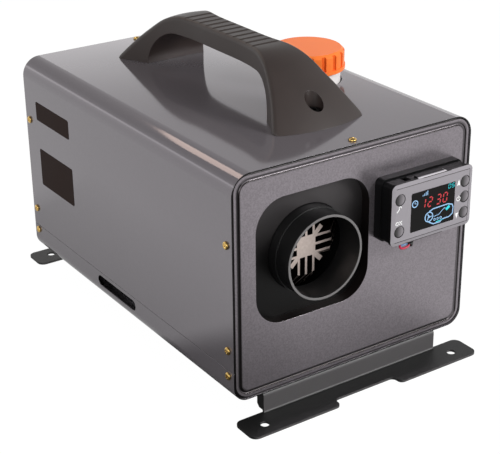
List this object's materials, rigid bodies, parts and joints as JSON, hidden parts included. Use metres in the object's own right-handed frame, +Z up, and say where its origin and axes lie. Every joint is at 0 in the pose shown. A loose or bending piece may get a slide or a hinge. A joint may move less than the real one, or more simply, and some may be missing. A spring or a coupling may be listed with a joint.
{
  "type": "diesel air heater",
  "caption": "Portable diesel air heater in a sheet-steel case, with a carry handle, a fuel tank with a screw cap, a warm-air collar and a push-button controller.",
  "frame": {"origin": "on the floor, in the middle of the footprint", "axes": "+Z up, -Y towards the warm-air outlet, +X to the right seen from the outlet"},
  "size_m": [0.2544, 0.427, 0.2785],
  "materials": {
    "bezel_plastic": "moulded ABS, satin grey",
    "black_plastic": "moulded nylon, satin",
    "black_powder_coat": "satin black powder coat",
    "black_rubber": "nitrile rubber",
    "brass_fitting": "turned brass",
    "button_plastic": "moulded silicone, matt",
    "cable_black": "PVC sheath",
    "case_paint": "smooth semi-gloss grey enamel on sheet steel",
    "cast_aluminium": "die-cast aluminium",
    "circuit_board": "solder-masked laminate",
    "clear_plastic": "clear moulded nylon",
    "foam": "closed-cell foam",
    "gasket_fibre": "pressed fibre sheet",
    "handle_plastic": "moulded glass-filled nylon, fine grain",
    "hose_nylon": "nylon fuel line",
    "orange_plastic": "injection-moulded polypropylene",
    "panel_paint": "satin grey enamel on pressed sheet steel",
    "screen_glass": "dark tinted display window",
    "stainless_steel": "drawn stainless steel",
    "tank_plastic": "blow-moulded natural polyethylene",
    "wire_red": "PVC-insulated wire",
    "yellow_zinc": "yellow chromate zinc plate",
    "zinc_steel": "bright zinc plate"
  },
  "bodies": {
    "root": {"base_tray": "case_paint", "bulkhead": "panel_paint", "burner_tube": "stainless_steel", "carry_handle": "handle_plastic", "case_screws": "yellow_zinc", "combustion_housing": "cast_aluminium", "control_board": "black_plastic", "control_cable": "cable_black", "controller_bezel": "bezel_plastic", "controller_board": "circuit_board", "controller_cradle": "black_plastic", "controller_housing": "black_plastic", "controller_screen": "screen_glass", "controller_wires": "wire_red", "cover_shell": "case_paint", "cradle_screws": "zinc_steel", "exhaust_pipe": "stainless_steel", "fan_motor": "zinc_steel", "foot_bolts": "zinc_steel", "foot_nuts": "zinc_steel", "front_foot": "black_powder_coat", "front_panel": "panel_paint", "fuel_filter": "clear_plastic", "fuel_hose_pressure": "hose_nylon", "fuel_hose_suction": "hose_nylon", "fuel_pump": "zinc_steel", "fuel_tank": "tank_plastic", "glow_plug": "stainless_steel", "handle_screws": "zinc_steel", "heat_exchanger": "cast_aluminium", "heater_bolts": "zinc_steel", "heater_lower_shell": "black_plastic", "heater_stand": "zinc_steel", "heater_upper_shell": "black_plastic", "inlet_hood": "black_plastic", "intake_pipe": "cast_aluminium", "mount_gasket": "gasket_fibre", "outlet_collar": "black_plastic", "overheat_sensor": "stainless_steel", "power_gland": "black_plastic", "pump_clamp": "black_rubber", "rear_foot": "black_powder_coat", "rear_panel": "panel_paint", "stand_rivets": "zinc_steel", "tank_outlet": "brass_fitting", "tank_pads": "foam"},
    "cap_seal": {"cap_seal": "black_rubber"},
    "filler_cap": {"filler_cap": "orange_plastic"},
    "fan_rotor": {"motor_shaft": "stainless_steel", "combustion_impeller": "black_plastic", "hot_air_impeller": "black_plastic"},
    "pump_piston": {"pump_piston": "stainless_steel"},
    "button_set": {"button_set": "button_plastic"},
    "button_ok": {"button_ok": "button_plastic"},
    "button_up": {"button_up": "button_plastic"},
    "button_power": {"button_power": "button_plastic"},
    "button_down": {"button_down": "button_plastic"}
  },
  "joints": [
    {"name": "cap_lift", "type": "slide", "parent": "root", "child": "cap_seal", "axis": [0, 0, 1], "range_m": [0, 0.0091]},
    {"name": "cap_turn", "type": "hinge", "parent": "cap_seal", "child": "filler_cap", "pos_m": [0.065, -0.027, 0.2475], "axis": [0, 0, 1], "range_deg": [0, 540]},
    {"name": "fan_spin", "type": "hinge", "parent": "root", "child": "fan_rotor", "pos_m": [-0.044, 0.09, 0.1408], "axis": [0, 1, 0], "continuous": true},
    {"name": "pump_stroke", "type": "slide", "parent": "root", "child": "pump_piston", "axis": [0, -1, 0], "range_m": [0, 0.002], "stiffness_N_per_m": 1500},
    {"name": "button_set_press", "type": "slide", "parent": "root", "child": "button_set", "axis": [0, 1, 0], "range_m": [0, 0.0008], "stiffness_N_per_m": 1200},
    {"name": "button_ok_press", "type": "slide", "parent": "root", "child": "button_ok", "axis": [0, 1, 0], "range_m": [0, 0.0008], "stiffness_N_per_m": 1200},
    {"name": "button_up_press", "type": "slide", "parent": "root", "child": "button_up", "axis": [0, 1, 0], "range_m": [0, 0.0008], "stiffness_N_per_m": 1200},
    {"name": "button_power_press", "type": "slide", "parent": "root", "child": "button_power", "axis": [0, 1, 0], "range_m": [0, 0.0008], "stiffness_N_per_m": 1200},
    {"name": "button_down_press", "type": "slide", "parent": "root", "child": "button_down", "axis": [0, 1, 0], "range_m": [0, 0.0008], "stiffness_N_per_m": 1200}
  ],
  "couplings": [
    {"joint": "cap_lift", "follows": "cap_turn", "m_per_rad": 0.00095493}
  ]
}
